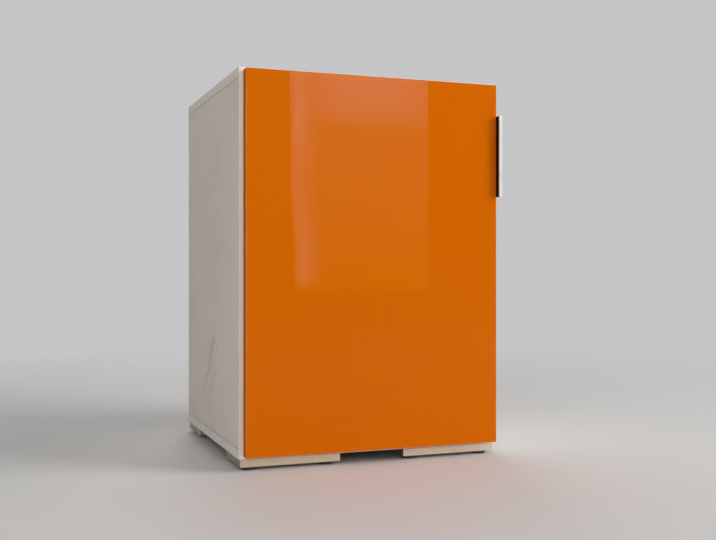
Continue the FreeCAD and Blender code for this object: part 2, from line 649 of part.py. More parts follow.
        seat = (f"({CUP_X} + cup_screw_offset)", f"({DOOR_BACK} + cup_flange_thickness)",
                f"{hinge_z} + {way} * cup_screw_spread / 2")
        cup_screws.append(copy_of(wood_screw, f"{hinge}_cup_screw_{index}", TURNS["-y"], seat))
        cup_holes.append(pilot(f"{hinge}_cup_hole_{index}", "-y", seat, "screw_length"))
        door_tools.append(pilot(f"{hinge}_cup_bore_{index}", "-y", seat, "screw_length"))
    cup = fuse(f"{hinge}_cup_block", [pot, flange])
    subpart(f"{hinge}_hinge_cup", cut(f"{hinge}_hinge_cup", cup, cup_holes))
    door_tools.append(rod(f"{hinge}_pot_bore", "-y", (CUP_X, DOOR_BACK, hinge_z),
                          "(cup_radius + fit_clearance)", "(cup_depth + fit_clearance)"))
subpart("hinge_plate_screws", group("hinge_plate_screws", plate_screws))
subpart("hinge_arm_screws", group("hinge_arm_screws", arm_screws))
subpart("hinge_adjusting_screws", group("hinge_adjusting_screws", adjusting_screws))
subpart("hinge_pins", group("hinge_pins", hinge_pins))
subpart("cup_screws", group("cup_screws", cup_screws))

# Handle: an extruded L on the door's right edge. Its web stands proud of the door's
# face and its lip turns outward, level with the carcass's side, for the fingertips.
handle_bottom = f"({TOP} - handle_drop - handle_length)"
web_rear = "door_thickness - door_arris"
lip_rear = "handle_lip - handle_proud"
handle_block = extrusion("handle_profile",
                         [("0", "-handle_proud"), ("door_reveal_right", "-handle_proud"),
                          ("door_reveal_right", lip_rear), ("handle_web", lip_rear),
                          ("handle_web", web_rear), ("0", web_rear)],
                         "handle_length", ((0, 1, 2, 3, 4, 5), "handle_arris"))
place(handle_block, TURNS["+z"], DOOR_RIGHT, DOOR_FRONT, handle_bottom)
countersunk_screw = turned("countersunk_screw",
                           [("0", "0"), ("screw_head_radius", "0"), ("screw_radius", "countersink_depth"),
                            ("screw_radius", "screw_length - screw_point"), ("0", "screw_length")])
handle_screws = []
handle_holes = []
for index, way in enumerate((-1, 1)):
    point = (f"({DOOR_RIGHT} + handle_web)", f"({DOOR_FRONT} + door_thickness / 2)",
             f"({handle_bottom} + handle_length / 2 + {way} * handle_screw_spread / 2)")
    handle_screws.append(copy_of(countersunk_screw, f"handle_screw_{index}", TURNS["-x"], point))
    handle_holes.append(taper(f"handle_sink_{index}", "-x", point, "(screw_head_radius + fit_clearance)",
                              "(screw_radius + fit_clearance)", "(countersink_depth + fit_clearance)"))
    handle_holes.append(pilot(f"handle_hole_{index}", "-x", point, "screw_length"))
    door_tools.append(pilot(f"handle_bore_{index}", "-x", point, "screw_length"))
subpart("handle", cut("handle", handle_block, handle_holes))
subpart("handle_screws", group("handle_screws", handle_screws))

# Magnet catch: a moulded housing with two ears, screwed under the top board beside the
# handle, holds a magnet that meets a steel strike on the back of the door.
catch_x = f"({INNER_HALF} - catch_side_distance)"
catch_front = f"({FRONT} + catch_setback)"
catch_z = f"({CEILING} - catch_height / 2)"
magnet_front = f"({DOOR_BACK} + strike_thickness + strike_head_height + contact_gap)"
magnet_y = f"({magnet_front} + magnet_depth / 2)"
cheek = "(magnet_width / 2 + catch_wall)"
housing = extrusion("catch_block",
                    [("-catch_width / 2", "0"), ("-catch_width / 2", "-catch_ear"),
                     (f"-{cheek}", "-catch_ear"), (f"-{cheek}", "-catch_height"),
                     (cheek, "-catch_height"), (cheek, "-catch_ear"),
                     ("catch_width / 2", "-catch_ear"), ("catch_width / 2", "0")],
                    "catch_depth", ((1, 3, 4, 6), "catch_round"))
place(housing, TURNS["-y"], catch_x, f"({catch_front} + catch_depth)", CEILING)
housing_tools = [box("catch_pocket", (catch_x, magnet_y, catch_z),
                     ("(magnet_width + 2 * fit_clearance)", "(magnet_depth + 2 * fit_clearance)",
                      "(magnet_height + 2 * fit_clearance)"))]
catch_screws = []
for index, way in enumerate((-1, 1)):
    seat = (f"({catch_x} + {way} * catch_screw_spread / 2)", f"({catch_front} + catch_depth / 2)",
            f"({CEILING} - catch_ear)")
    housing_tools.append(pilot(f"catch_hole_{index}", "+z", seat, "screw_length"))
    board_tools["top"].append(pilot(f"catch_bore_{index}", "+z", seat, "screw_length"))
    catch_screws.append(copy_of(wood_screw, f"catch_screw_{index}", TURNS["+z"], seat))
subpart("catch_housing", cut("catch_housing", housing, housing_tools))
subpart("catch_screws", group("catch_screws", catch_screws))
subpart("catch_magnet", box("catch_magnet", (catch_x, magnet_y, catch_z),
                            ("magnet_width", "magnet_depth", "magnet_height")))
strike_seat = (catch_x, f"({DOOR_BACK} + strike_thickness)", catch_z)
strike_bore = "(screw_radius + fit_clearance)"
strike = turned("strike_plate",
                [(strike_bore, "0"), ("strike_radius", "0"), ("strike_radius", "strike_thickness"),
                 (strike_bore, "strike_thickness")],
                ((2,), "strike_round"))
subpart("strike_plate", place(strike, TURNS["+y"], catch_x, DOOR_BACK, catch_z))
door_tools.append(pilot("strike_hole", "-y", strike_seat, "screw_length"))
strike_screw = screw("strike_screw", "screw_radius", "screw_length", "screw_head_radius",
                     "strike_head_height", "strike_round")
subpart("strike_screw", place(strike_screw, TURNS["-y"], *strike_seat))

# Soft pads behind the door's free edge, which keep the gap when it is shut.
bumper = turned("bumper", [("0", "0"), ("bumper_radius", "0"), ("bumper_radius", "door_gap - contact_gap"),
                           ("0", "door_gap - contact_gap")], ((2,), "bumper_round"))
bumpers = []
for end, bumper_z in (("upper", f"({DOOR_TOP} - bumper_end_distance)"),
                      ("lower", f"({DOOR_BOTTOM} + bumper_end_distance)")):
    bumpers.append(copy_of(bumper, f"{end}_bumper", TURNS["+y"],
                           (f"({DOOR_RIGHT} - bumper_inset)", DOOR_BACK, bumper_z)))
subpart("door_bumpers", group("door_bumpers", bumpers))

# Boards, with all the holes and grooves that the fittings above need.
board_y = f"(({FRONT} + {REAR}) / 2)"
for end, level in (("top", f"({TOP} - board_thickness / 2)"), ("bottom", f"({BASE} + board_thickness / 2)")):
    blank = board(f"{end}_blank", ("0", board_y, level),
                  ("carcass_width", "carcass_depth", "board_thickness"), "board_arris")
    subpart(f"{end}_panel", cut(f"{end}_panel", blank, board_tools[end]))
for side, hand in (("left", -1), ("right", 1)):
    blank = board(f"{side}_blank", (f"{hand} * ({HALF_WIDTH} - board_thickness / 2)", board_y, MIDDLE),
                  ("board_thickness", "carcass_depth", "(carcass_height - 2 * board_thickness)"),
                  "board_arris")
    subpart(f"{side}_side_panel", cut(f"{side}_side_panel", blank, side_tools[side]))
door_middle = (f"(({DOOR_LEFT} + {DOOR_RIGHT}) / 2)", f"({DOOR_FRONT} + door_thickness / 2)",
               f"(({DOOR_BOTTOM} + {DOOR_TOP}) / 2)")
door_blank = board("door_blank", door_middle,
                   (f"({DOOR_RIGHT} - {DOOR_LEFT})", "door_thickness", f"({DOOR_TOP} - {DOOR_BOTTOM})"),
                   "door_arris")
subpart("door_panel", cut("door_panel", door_blank, door_tools))

doc.recompute()
faults = [item.Name for item in doc.Objects if {"Invalid", "Error"} & set(item.State)]
for item in subparts:
    if item.Shape.isNull() or not item.Shape.isValid() or not item.Shape.Solids:
        faults.append(item.Label)
if faults:
    raise RuntimeError("failed pieces: " + ", ".join(faults))

os.makedirs("parts", exist_ok=True)
for item in subparts:
    item.Shape.exportStep(f"parts/{item.Label}.step")
    print(item.Label, len(item.Shape.Solids), round(item.Shape.Volume), item.Shape.BoundBox)
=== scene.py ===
import math

import bpy
from mathutils import Matrix, Vector


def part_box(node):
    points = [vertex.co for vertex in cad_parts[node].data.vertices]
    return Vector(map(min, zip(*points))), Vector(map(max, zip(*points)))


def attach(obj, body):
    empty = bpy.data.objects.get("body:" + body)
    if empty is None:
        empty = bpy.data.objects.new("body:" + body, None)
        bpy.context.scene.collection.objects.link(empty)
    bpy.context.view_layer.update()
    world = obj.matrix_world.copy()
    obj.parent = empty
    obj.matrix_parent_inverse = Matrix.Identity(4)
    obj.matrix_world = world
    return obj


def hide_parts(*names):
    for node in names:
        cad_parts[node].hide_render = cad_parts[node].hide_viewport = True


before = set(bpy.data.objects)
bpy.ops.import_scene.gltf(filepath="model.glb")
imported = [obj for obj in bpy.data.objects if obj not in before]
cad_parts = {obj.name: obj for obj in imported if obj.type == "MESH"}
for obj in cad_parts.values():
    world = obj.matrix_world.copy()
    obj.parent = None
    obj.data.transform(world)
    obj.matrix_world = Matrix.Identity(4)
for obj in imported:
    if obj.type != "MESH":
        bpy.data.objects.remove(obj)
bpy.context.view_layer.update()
bpy.context.scene.view_settings.view_transform = "Standard"


# Carcass boards and shelf
# Chipboard with a white melamine face pressed on, and a thin edge band ironed onto each
# cut edge. The four carcass boards are drawn together by cams; the shelf lies loose on pins.
def add_node(tree, kind, feeds, **settings):
    """One more node; feeds gives each input its value or the output that drives it."""
    made = tree.nodes.new(kind)
    for setting, value in settings.items():
        setattr(made, setting, value)
    for socket, value in feeds.items():
        if isinstance(value, bpy.types.NodeSocket):
            tree.links.new(value, made.inputs[socket])
        else:
            made.inputs[socket].default_value = value
    return made


def calculate(tree, operation, *values):
    """A Math node; COMPARE takes a third value, how near the first two have to be."""
    feeds = dict(enumerate(values))
    return add_node(tree, "ShaderNodeMath", feeds, operation=operation).outputs[0]


def ramp(tree, value, low, high, start=0, end=1):
    """Start where the value is low or less, end where it is high or more, and even between."""
    feeds = {"Value": value, "From Min": low, "From Max": high, "To Min": start, "To Max": end}
    return add_node(tree, "ShaderNodeMapRange", feeds).outputs[0]


def noise(tree, vector, scale, detail, roughness=0.5, distortion=0):
    """Cloudy grain from 0 to 1, mostly near one half."""
    feeds = {"Vector": vector, "Scale": scale, "Detail": detail, "Roughness": roughness,
             "Distortion": distortion}
    return add_node(tree, "ShaderNodeTexNoise", feeds).outputs[0]


def start_group(name, inputs, outputs):
    """A shared effect as a node group, with its own named sockets."""
    group = bpy.data.node_groups.new(name, "ShaderNodeTree")
    for socket, kind, value in inputs:
        made = group.interface.new_socket(name=socket, in_out="INPUT", socket_type=kind)
        made.default_value = value
    for socket, kind in outputs:
        group.interface.new_socket(name=socket, in_out="OUTPUT", socket_type=kind)
    taken = group.nodes.new("NodeGroupInput").outputs
    given = group.nodes.new("NodeGroupOutput").inputs
    return group, taken, given


# cloudy marks left by hands and cleaning
handling_marks, taken, given = start_group(
    "handling_marks",
    [("Vector", "NodeSocketVector", (0, 0, 0)), ("Scale", "NodeSocketFloat", 6),
     ("Amount", "NodeSocketFloat", 1)],
    [("Mask", "NodeSocketFloat")])
clouds = noise(handling_marks, taken["Vector"], taken["Scale"], detail=6, roughness=0.62,
               distortion=0.6)
patches = ramp(handling_marks, clouds, low=0.5, high=0.72)
marked = calculate(handling_marks, "MULTIPLY", patches, taken["Amount"])
handling_marks.links.new(marked, given["Mask"])

# the fine pearl that a press plate or a mould leaves on a surface
pressed_pearl, taken, given = start_group(
    "pressed_pearl",
    [("Vector", "NodeSocketVector", (0, 0, 0)), ("Scale", "NodeSocketFloat", 900)],
    [("Height", "NodeSocketFloat")])
coarse = noise(pressed_pearl, taken["Vector"], taken["Scale"], detail=2)
cells = add_node(pressed_pearl, "ShaderNodeTexVoronoi",
                 {"Vector": taken["Vector"], "Scale": taken["Scale"]})
pearl = calculate(pressed_pearl, "ADD", coarse, cells.outputs["Distance"])
pressed_pearl.links.new(pearl, given["Height"])


def mix_colours(tree, mask, first, second):
    """A Mix node for colours, which go in at its sockets 6 and 7 and come out at 2."""
    feeds = {0: mask, 6: first, 7: second}
    return add_node(tree, "ShaderNodeMix", feeds, data_type="RGBA").outputs[2]


def axes_of(tree, vector):
    return add_node(tree, "ShaderNodeSeparateXYZ", {0: vector}).outputs


# raw board, which shows where a hole or groove cuts deeper than the skin of the board's box
raw_core, taken, given = start_group(
    "raw_core",
    [("Vector", "NodeSocketVector", (0, 0, 0)), ("Low", "NodeSocketVector", (0, 0, 0)),
     ("High", "NodeSocketVector", (0, 0, 0)), ("Chip Scale", "NodeSocketFloat", 700)],
    [("Mask", "NodeSocketFloat"), ("Color", "NodeSocketColor")])
skin, core_start = 0.0007, 0.001
chip_dark, chip_pale = (0.26, 0.16, 0.085, 1), (0.56, 0.41, 0.25, 1)
depths = []
for first, second in ((taken["Vector"], taken["Low"]), (taken["High"], taken["Vector"])):
    away = add_node(raw_core, "ShaderNodeVectorMath", {0: first, 1: second}, operation="SUBTRACT")
    depths += axes_of(raw_core, away.outputs[0])[:]
least = depths[0]
for depth in depths[1:]:
    least = calculate(raw_core, "MINIMUM", least, depth)
raw_core.links.new(ramp(raw_core, least, skin, core_start), given["Mask"])
chips = add_node(raw_core, "ShaderNodeTexVoronoi",
                 {"Vector": taken["Vector"], "Scale": taken["Chip Scale"]})
chip_tone = add_node(raw_core, "ShaderNodeSeparateColor", {0: chips.outputs["Color"]}).outputs[0]
raw_core.links.new(mix_colours(raw_core, chip_tone, chip_dark, chip_pale), given["Color"])


def start_material(name, constants):
    """A new node material; values that are the same all over go on the shader's own sockets."""
    material = bpy.data.materials.new(name)
    material.use_nodes = True
    shader = material.node_tree.nodes["Principled BSDF"]
    for socket, value in constants.items():
        shader.inputs[socket].default_value = value
    return material, material.node_tree, shader


def object_coordinates(tree):
    return tree.nodes.new("ShaderNodeTexCoord").outputs["Object"]


def stretched(tree, vector, scale):
    return add_node(tree, "ShaderNodeMapping", {"Vector": vector, "Scale": scale}).outputs[0]


def length_of(tree, vector):
    made = add_node(tree, "ShaderNodeVectorMath", {0: vector}, operation="LENGTH")
    return made.outputs["Value"]


def place_group(tree, group, feeds):
    return add_node(tree, "ShaderNodeGroup", feeds, node_tree=group).outputs


def bump(tree, shader, height, strength, depth):
    """Relief in the shader's normal; depth is in metres."""
    made = add_node(tree, "ShaderNodeBump",
                    {"Height": height, "Strength": strength, "Distance": depth})
    tree.links.new(made.outputs[0], shader.inputs["Normal"])


def dress(material, *names):
    """Gives CAD nodes their finish."""
    for name in names:
        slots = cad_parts[name].data.materials
        slots.clear()
        slots.append(material)


def dark_strokes_on(tree, spot, outer_face):
    """Darker diagonal strokes low on the outside of the left board, rising to the front."""
    middle, reach, turn = (outer_face, 0.02, 0.145), (0.004, 0.085, 0.055), (2.41, 0, 0)
    across_the_strokes = (1, 0.7, 4.5)
    feeds = {"Vector": spot, "Location": middle, "Rotation": turn, "Scale": reach}
    place = add_node(tree, "ShaderNodeMapping", feeds, vector_type="TEXTURE").outputs[0]
    strokes = noise(tree, stretched(tree, place, across_the_strokes), scale=1, detail=3)
    return calculate(tree, "MULTIPLY", ramp(tree, strokes, low=0.43, high=0.68),
                     ramp(tree, length_of(tree, place), low=0.3, high=1, start=1, end=0))


melamine_white, melamine_shade = (0.805, 0.745, 0.665, 1), (0.765, 0.705, 0.625, 1)
melamine_mark, stroke_grey = (0.60, 0.545, 0.475, 1), (0.56, 0.50, 0.43, 1)
band_white, hairline_colour = (0.825, 0.775, 0.70, 1), (0.56, 0.52, 0.47, 1)
# the seam colour is dust and painted shade in the seams between the boards
# the underside colour is painted shade for the gap under the cabinet
seam_dust_and_shade_colour, underside_shade_brown = (0.47, 0.43, 0.375, 1), (0.085, 0.055, 0.035, 1)
band_thickness, hairline, joint_line, underside_depth = 0.0008, 0.0001, 0.0007, 0.0003
wiping_streaks = (30, 30, 2.5)
satin_smooth, satin_rough, dulled_by_marks = 0.52, 0.6, 0.4
carcass_joints = {"top_panel": ["low"], "bottom_panel": ["high"],
                  "left_side_panel": ["low", "high"], "right_side_panel": ["low", "high"],
                  "shelf": []}
for name, joints in carcass_joints.items():
    low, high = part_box(name)
    melamine, tree, shader = start_material(
        f"white_melamine_{name}", {"Specular IOR Level": 0.22})
    spot = object_coordinates(tree)
    sideways, backward, level = axes_of(tree, spot)
    drift = noise(tree, spot, scale=9, detail=3)
    streaks = noise(tree, stretched(tree, spot, wiping_streaks), scale=1, detail=3, distortion=0.5)
    marks = place_group(tree, handling_marks, {"Vector": spot, "Scale": 4.5, "Amount": 0.3})["Mask"]
    colour = mix_colours(tree, drift, melamine_shade, melamine_white)
    streaked = ramp(tree, streaks, low=0.55, high=0.8, end=0.1)
    colour = mix_colours(tree, streaked, colour, melamine_mark)
    colour = mix_colours(tree, marks, colour, melamine_mark)
    # darker diagonal strokes low on the left board
    if name == "left_side_panel":
        colour = mix_colours(tree, dark_strokes_on(tree, spot, low.x), colour, stroke_grey)
    # the edge band along the front, and round the ends of the boards that lie flat
    edge_depth = calculate(tree, "SUBTRACT", backward, low.y)
    if "side" not in name:
        for end_depth in (calculate(tree, "SUBTRACT", sideways, low.x),
                          calculate(tree, "SUBTRACT", high.x, sideways)):
            edge_depth = calculate(tree, "MINIMUM", edge_depth, end_depth)
    in_band = calculate(tree, "LESS_THAN", edge_depth, band_thickness)
    colour = mix_colours(tree, in_band, colour, band_white)
    band_line = calculate(tree, "COMPARE", edge_depth, band_thickness, hairline)
    colour = mix_colours(tree, band_line, colour, hairline_colour)
    # dust and painted shade in the seams between the boards, behind the front edge
    behind_band = calculate(tree, "GREATER_THAN", backward, low.y + band_thickness)
    for joint in joints:
        seam = low.z if joint == "low" else high.z
        seam_dust_and_shade = calculate(tree, "COMPARE", level, seam, joint_line)
        seam_dust_and_shade = calculate(tree, "MULTIPLY", seam_dust_and_shade, behind_band)
        colour = mix_colours(tree, seam_dust_and_shade, colour, seam_dust_and_shade_colour)
    # painted shade: the bottom board's underside is a dark brown sheet, which keeps the gap under
    # the cabinet dark
    if name == "bottom_panel":
        painted_underside_shade = calculate(tree, "LESS_THAN", level, low.z + underside_depth)
        colour = mix_colours(tree, painted_underside_shade, colour, underside_shade_brown)
    core = place_group(tree, raw_core, {"Vector": spot, "Low": low, "High": high})
    colour = mix_colours(tree, core["Mask"], colour, core["Color"])
    tree.links.new(colour, shader.inputs["Base Color"])
    satin = ramp(tree, drift, low=0.3, high=0.7, start=satin_smooth, end=satin_rough)
    satin = calculate(tree, "ADD", satin, calculate(tree, "MULTIPLY", marks, dulled_by_marks))
    tree.links.new(calculate(tree, "MAXIMUM", satin, core["Mask"]), shader.inputs["Roughness"])
    pearl = place_group(tree, pressed_pearl, {"Vector": spot, "Scale": 1400})["Height"]
    bump(tree, shader, pearl, strength=0.1, depth=0.0001)
    dress(melamine, name)


# Back panel
# A 3 mm hardboard sheet that slides in a groove all round. Its inner face has a white foil;
# the outer face is bare, brown and fibrous as it leaves the press.
foil_thickness, bare_from = 0.0004, 0.0008
fibre_dark, fibre_pale = (0.20, 0.115, 0.058, 1), (0.34, 0.215, 0.12, 1)
stain_brown = (0.17, 0.10, 0.055, 1)
fibre_run = (240, 240, 90)
foil_roughness, bare_roughness = 0.42, 0.8
inner_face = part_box("back_panel")[0].y
hardboard, tree, shader = start_material("foiled_hardboard", {"Specular IOR Level": 0.3})
spot = object_coordinates(tree)
backward = axes_of(tree, spot)["Y"]
bare = ramp(tree, backward, inner_face + foil_thickness, inner_face + bare_from)
fibres = noise(tree, stretched(tree, spot, fibre_run), scale=6, detail=5, distortion=1.5)
brown = mix_colours(tree, fibres, fibre_dark, fibre_pale)
stains = ramp(tree, noise(tree, spot, scale=5, detail=4), low=0.4, high=0.7, end=0.35)
brown = mix_colours(tree, stains, brown, stain_brown)
tree.links.new(mix_colours(tree, bare, melamine_white, brown), shader.inputs["Base Color"])
dullness = ramp(tree, bare, low=0, high=1, start=foil_roughness, end=bare_roughness)
tree.links.new(dullness, shader.inputs["Roughness"])
bump(tree, shader, fibres, strength=0.25, depth=0.0001)
dress(hardboard, "back_panel")


# Corner fittings
# Die-cast zinc cams turn in the side boards and grip the heads of zinc-plated steel bolts;
# beech dowels beside them keep the joint in line.
plated_tone, taken, given = start_group(
    "plated_tone",
    [("Vector", "NodeSocketVector", (0, 0, 0)), ("Dark", "NodeSocketColor", (0, 0, 0, 1)),
     ("Light", "NodeSocketColor", (1, 1, 1, 1)), ("Scale", "NodeSocketFloat", 120)],
    [("Color", "NodeSocketColor"), ("Roughness", "NodeSocketFloat"),
     ("Height", "NodeSocketFloat")])
spangle = noise(plated_tone, taken["Vector"], taken["Scale"], detail=4)
tone = mix_colours(plated_tone, spangle, taken["Dark"], taken["Light"])
plated_tone.links.new(tone, given["Color"])
plated_tone.links.new(ramp(plated_tone, spangle, low=0.3, high=0.7, start=0.2, end=0.36),
                      given["Roughness"])
plated_tone.links.new(noise(plated_tone, taken["Vector"], scale=2600, detail=2), given["Height"])


def plated_metal(name, dark, light, grain, grit):
    """A plated or cast metal, with its uneven tone and fine grit."""
    metal, tree, shader = start_material(name, {"Metallic": 1.0})
    feeds = {"Vector": object_coordinates(tree), "Dark": dark, "Light": light, "Scale": grain}
    tone = place_group(tree, plated_tone, feeds)
    tree.links.new(tone["Color"], shader.inputs["Base Color"])
    tree.links.new(tone["Roughness"], shader.inputs["Roughness"])
    bump(tree, shader, tone["Height"], strength=grit, depth=0.00005)
    return metal


zinc_plate = plated_metal("zinc_plate", dark=(0.52, 0.53, 0.54, 1), light=(0.74, 0.74, 0.73, 1),
                          grain=160, grit=0.08)
cast_zinc = plated_metal("cast_zinc", dark=(0.36, 0.36, 0.37, 1), light=(0.58, 0.58, 0.58, 1),
                         grain=420, grit=0.3)
dress(cast_zinc, "cam_locks")
dress(zinc_plate, "cam_bolts")
beech_dark, beech_pale = (0.40, 0.25, 0.13, 1), (0.66, 0.48, 0.30, 1)
beech_run = (900, 900, 60)
beech, tree, shader = start_material("beech", {"Roughness": 0.65, "Specular IOR Level": 0.25})
grain = noise(tree, stretched(tree, object_coordinates(tree), beech_run), scale=2, detail=4)
tree.links.new(mix_colours(tree, grain, beech_dark, beech_pale), shader.inputs["Base Color"])
bump(tree, shader, grain, strength=0.3, depth=0.0001)
dress(beech, "wood_dowels")


# Shelf pins
# Zinc-plated steel pins with a collar and a flat rest, pushed by hand into the drilled lines.
dress(zinc_plate, "shelf_pins")


# Feet
# Low aluminium trays, linished along their length, sawn at the ends and anodised, then screwed
# up into the bottom board. They stand on black moulded glides pressed into their bosses.
drawn_streaks, taken, given = start_group(
    "drawn_streaks",
    [("Vector", "NodeSocketVector", (0, 0, 0)), ("Stretch", "NodeSocketVector", (1, 1, 1))],
    [("Tone", "NodeSocketFloat"), ("Height", "NodeSocketFloat")])
drawn = add_node(drawn_streaks, "ShaderNodeVectorMath",
                 {0: taken["Vector"], 1: taken["Stretch"]}, operation="MULTIPLY").outputs[0]
broad = noise(drawn_streaks, drawn, scale=0.25, detail=3)
drawn_streaks.links.new(noise(drawn_streaks, drawn, scale=2.2, detail=2), given["Height"])
drawn_streaks.links.new(ramp(drawn_streaks, broad, low=0.3, high=0.7), given["Tone"])


def brushed_aluminium(name, stretch, dark, light, smooth, rough):
    """Aluminium linished one way; its tone comes back too, for a colour over it."""
    metal, tree, shader = start_material(name, {"Metallic": 1.0})
    spot = object_coordinates(tree)
    streaks = place_group(tree, drawn_streaks, {"Vector": spot, "Stretch": stretch})
    marks = place_group(tree, handling_marks, {"Vector": spot, "Scale": 30, "Amount": 0.1})["Mask"]
    tone = mix_colours(tree, streaks["Tone"], dark, light)
    sheen = ramp(tree, streaks["Tone"], low=0, high=1, start=rough, end=smooth)
    tree.links.new(calculate(tree, "ADD", sheen, marks), shader.inputs["Roughness"])
    bump(tree, shader, streaks["Height"], strength=0.12, depth=0.00006)
    return metal, tree, shader, tone


along_the_foot = (14, 700, 700)
foot_dark, foot_pale = (0.505, 0.425, 0.363, 1), (0.59, 0.51, 0.438, 1)
sawn_end_and_shade = (0.45, 0.385, 0.335, 1)
sawn_face, sawn_fade = 0.0003, 0.0008
for name in ("front_left_foot", "front_right_foot", "rear_left_foot", "rear_right_foot"):
    low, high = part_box(name)
    brushed, tree, shader, tone = brushed_aluminium(
        f"brushed_{name}", along_the_foot, foot_dark, foot_pale, smooth=0.36, rough=0.48)
    sideways = axes_of(tree, object_coordinates(tree))["X"]
    end_depth = calculate(tree, "MINIMUM", calculate(tree, "SUBTRACT", sideways, low.x),
                          calculate(tree, "SUBTRACT", high.x, sideways))
    # darker end faces: the sawn ends, with painted shade on these side faces as well
    at_the_end = ramp(tree, end_depth, sawn_face, sawn_fade, start=1, end=0)
    tree.links.new(mix_colours(tree, at_the_end, tone, sawn_end_and_shade), shader.inputs["Base Color"])
    dress(brushed, name)


def moulded_plastic(name, colour, worn, grain):
    """A moulded plastic with a fine grain, duller where it is handled."""
    plastic, tree, shader = start_material(name, {"Specular IOR Level": 0.45})
    spot = object_coordinates(tree)
    marks = place_group(tree, handling_marks, {"Vector": spot, "Scale": 60, "Amount": 0.6})["Mask"]
    tree.links.new(mix_colours(tree, marks, colour, worn), shader.inputs["Base Color"])
    dullness = ramp(tree, marks, low=0, high=1, start=0.42, end=0.6)
    tree.links.new(dullness, shader.inputs["Roughness"])
    pearl = place_group(tree, pressed_pearl, {"Vector": spot, "Scale": grain})["Height"]
    bump(tree, shader, pearl, strength=0.15, depth=0.0001)
    return plastic


black_glide = moulded_plastic("black_glide", colour=(0.016, 0.016, 0.017, 1),
                              worn=(0.04, 0.038, 0.036, 1), grain=2200)
dress(black_glide, "foot_glides")


def solids_of(node):
    """The lowest and highest corner of each separate solid in a CAD node, from a copy of it."""
    merge_distance = 1e-6
    lowest, highest = 0, 6
    bpy.ops.object.select_all(action="DESELECT")
    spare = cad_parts[node].copy()
    spare.data = spare.data.copy()
    bpy.context.collection.objects.link(spare)
    spare.select_set(True)
    bpy.context.view_layer.objects.active = spare
    bpy.ops.object.mode_set(mode="EDIT")
    bpy.ops.mesh.select_all(action="SELECT")
    bpy.ops.mesh.remove_doubles(threshold=merge_distance)
    bpy.ops.mesh.separate(type="LOOSE")
    bpy.ops.object.mode_set(mode="OBJECT")
    boxes = [(Vector(solid.bound_box[lowest]), Vector(solid.bound_box[highest]))
             for solid in bpy.context.selected_objects]
    bpy.ops.object.delete()
    return boxes


def select_faces(piece, way):
    """In edit mode, selects only the faces that look along a way."""
    nearly_along = 0.9
    bpy.ops.mesh.select_mode(type="FACE")
    bpy.ops.mesh.select_all(action="DESELECT")
    bpy.ops.object.mode_set(mode="OBJECT")
    for face in piece.data.polygons:
        face.select = face.normal.dot(way) > nearly_along
    bpy.ops.object.mode_set(mode="EDIT")


def apply_modifier(piece, kind, **settings):
    bpy.context.view_layer.objects.active = piece
    modifier = piece.modifiers.new(kind.lower(), kind)
    for setting, value in settings.items():
        setattr(modifier, setting, value)
    bpy.ops.object.modifier_apply(modifier=modifier.name)


to_the_point = Vector((0, 0, 1))


def cross_cutter(reach, width, depth):
    """Two crossed blades that narrow towards the bottom, for the driver's recess."""
    narrowed = 0.55
    blades = []
    for turn in (0, math.pi / 2):
        bpy.ops.mesh.primitive_cube_add(size=1, location=(0, 0, 0), rotation=(0, 0, turn))
        blade = bpy.context.object
        blade.scale = (2 * reach, width, 2 * depth)
        bpy.ops.object.transform_apply(location=True, rotation=True, scale=True)
        bpy.ops.object.mode_set(mode="EDIT")
        select_faces(blade, to_the_point)
        bpy.ops.transform.resize(value=(narrowed, narrowed, 1))
        bpy.ops.object.mode_set(mode="OBJECT")
        blades.append(blade)
    return blades


